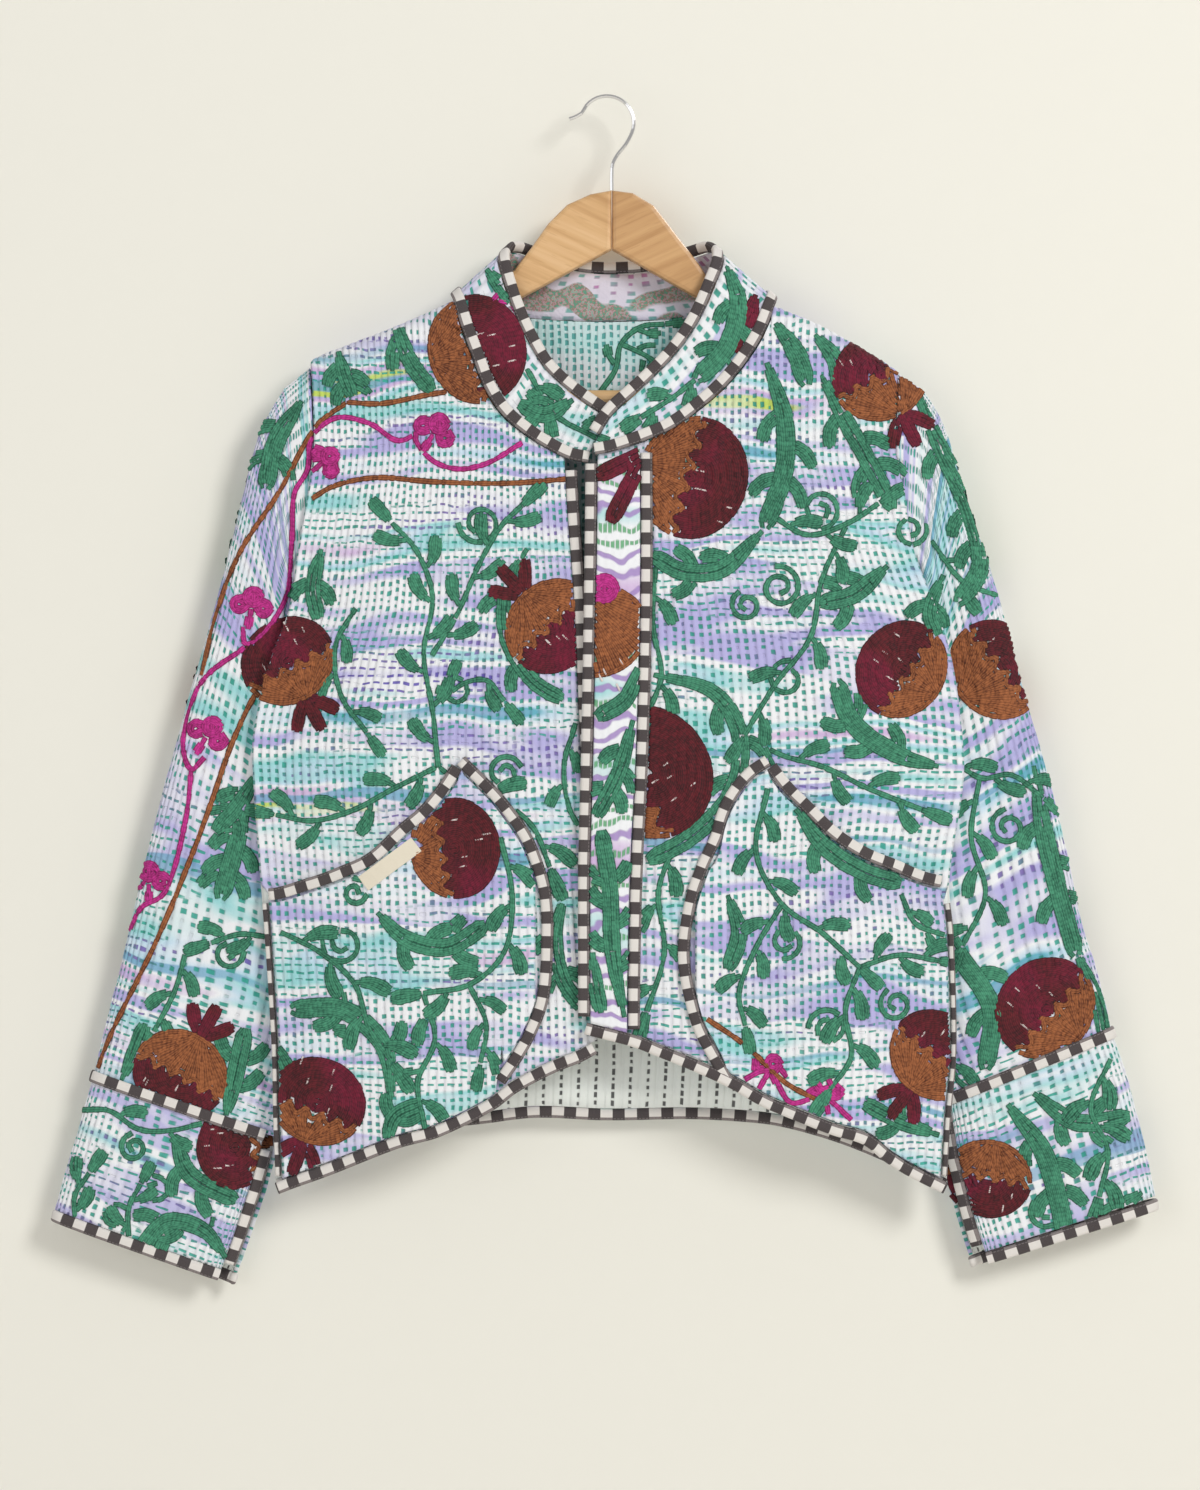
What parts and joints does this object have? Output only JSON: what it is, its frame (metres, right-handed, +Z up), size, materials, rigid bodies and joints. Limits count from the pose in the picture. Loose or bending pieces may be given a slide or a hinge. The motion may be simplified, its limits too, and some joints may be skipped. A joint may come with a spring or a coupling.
{
  "type": "quilted jacket on hanger",
  "caption": "Cropped open-front quilted cotton kantha jacket with stand collar, patch pockets, bound cuffs and hems, hanging closed on a wooden hanger with a wire hook",
  "frame": {"origin": "the inner top of the hanger hook's bend, where it rests on a peg", "axes": "+Z up, +Y towards the wall behind the jacket, +X to the wearer's left, so the front faces -Y"},
  "size_m": [0.782, 0.065, 0.838],
  "materials": {
    "embroidered_quilt": "white cotton quilted with dashes of many colours and chain-stitch embroidery",
    "back_quilt": "white cotton outside, pale grey-green cotton with dark running stitches inside",
    "collar_cloth": "quilted cotton, white inside with pale dashes",
    "checked_binding": "woven cotton, black-brown and off-white check",
    "label_tape": "bare woven tape, matte",
    "hanger_wood_light": "straight-grained beech, satin",
    "hanger_wood_dark": "straight-grained beech, darker, satin",
    "bar_wood": "beech dowel, satin",
    "hook_wire": "polished plated wire"
  },
  "bodies": {
    "root": {"back": "back_quilt", "front_right": "embroidered_quilt", "front_left": "embroidered_quilt", "sleeve_right": "embroidered_quilt", "sleeve_left": "embroidered_quilt", "cuff_right": "embroidered_quilt", "cuff_left": "embroidered_quilt", "pocket_right": "embroidered_quilt", "pocket_left": "embroidered_quilt", "front_band": "embroidered_quilt", "collar": "collar_cloth", "binding_collar_edge": "checked_binding", "binding_collar_seam": "checked_binding", "binding_edge_right": "checked_binding", "binding_band_inner": "checked_binding", "binding_band_outer": "checked_binding", "binding_hem_right": "checked_binding", "binding_hem_left": "checked_binding", "binding_hem_back": "checked_binding", "binding_pocket_mouth_right": "checked_binding", "binding_pocket_curve_right": "checked_binding", "binding_vent_front_right": "checked_binding", "binding_pocket_mouth_left": "checked_binding", "binding_pocket_curve_left": "checked_binding", "binding_vent_front_left": "checked_binding", "binding_cuff_top_right": "checked_binding", "binding_cuff_end_right": "checked_binding", "binding_cuff_slit_right": "checked_binding", "binding_cuff_top_left": "checked_binding", "binding_cuff_end_left": "checked_binding", "binding_cuff_slit_left": "checked_binding", "label": "label_tape", "hanger_wood_right": "hanger_wood_light", "hanger_wood_left": "hanger_wood_dark", "hanger_hook": "hook_wire", "hanger_bar": "bar_wood"}
  },
  "joints": []
}
